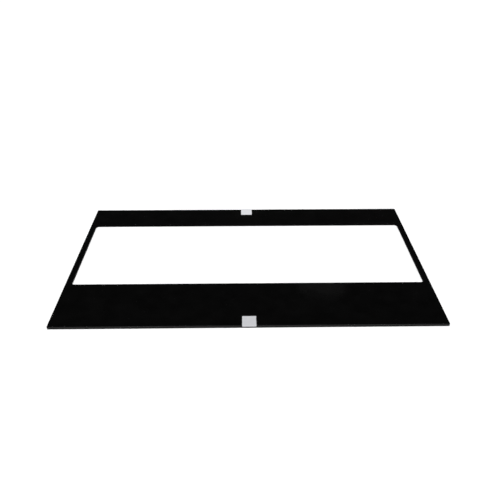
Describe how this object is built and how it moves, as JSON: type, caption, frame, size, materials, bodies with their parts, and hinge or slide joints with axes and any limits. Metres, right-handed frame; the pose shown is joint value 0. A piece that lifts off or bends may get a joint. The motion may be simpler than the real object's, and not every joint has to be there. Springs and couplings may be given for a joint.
{
  "type": "kick plate",
  "caption": "Flat black door kick plate with a long window cut-out, bonded by foam tape under release liners, with a protective face film and a pull tab on each long edge.",
  "frame": {"origin": "middle of the plate's outline, in the mounting plane under the release liners", "axes": "+X across the door, +Y up the door towards the narrow band above the window, +Z out of the face towards the room; the plate lies on its back"},
  "size_m": [0.864, 0.514, 0.0076],
  "materials": {
    "black_plastic": "gloss",
    "clear_film": "gloss",
    "grey_vinyl": "satin",
    "foam_tape": "matte",
    "release_liner": "satin"
  },
  "bodies": {
    "root": {"plate": "black_plastic", "face_film": "clear_film", "bottom_pull_tab": "grey_vinyl", "top_pull_tab": "grey_vinyl", "tape_bottom_edge": "foam_tape", "tape_bottom_middle": "foam_tape", "tape_sill": "foam_tape", "tape_head": "foam_tape", "tape_top_edge": "foam_tape", "tape_left": "foam_tape", "tape_right": "foam_tape", "liner_bottom_edge": "release_liner", "liner_bottom_middle": "release_liner", "liner_sill": "release_liner", "liner_head": "release_liner", "liner_top_edge": "release_liner", "liner_left": "release_liner", "liner_right": "release_liner"}
  },
  "joints": []
}
